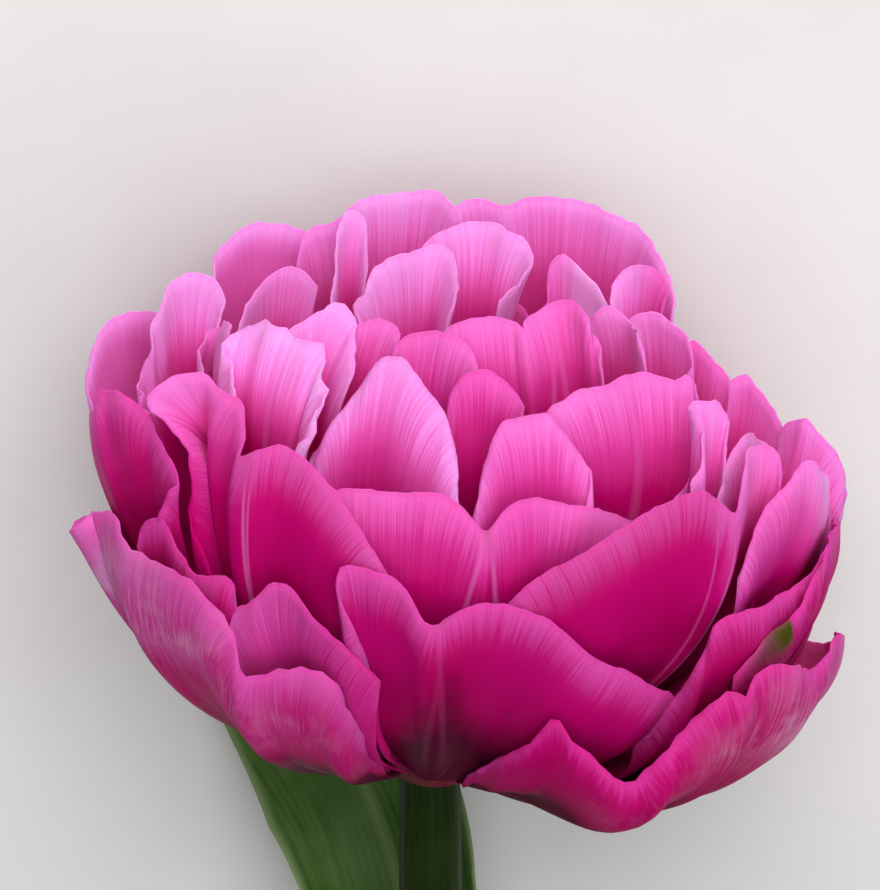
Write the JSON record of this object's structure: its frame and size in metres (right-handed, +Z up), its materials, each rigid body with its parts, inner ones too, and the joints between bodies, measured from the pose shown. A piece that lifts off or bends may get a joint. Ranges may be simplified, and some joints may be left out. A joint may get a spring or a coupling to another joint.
{
  "type": "cut double late tulip",
  "caption": "Cut peony-flowered double tulip lying on its side: full pink bloom of layered petals, curved green stem and clasping leaves.",
  "frame": {"origin": "middle of the part's bounding box in plan, on the surface it lies on", "axes": "+Y along the stem towards the bloom, +Z up from the surface, +X to the bloom's right as seen from above"},
  "size_m": [0.1022, 0.2801, 0.0841],
  "materials": {
    "petal": "satin",
    "stem": "satin",
    "leaf": "satin"
  },
  "bodies": {
    "root": {"bloom": "petal", "stem": "stem", "leaf_upper": "leaf", "leaf_lower": "leaf"}
  },
  "joints": []
}
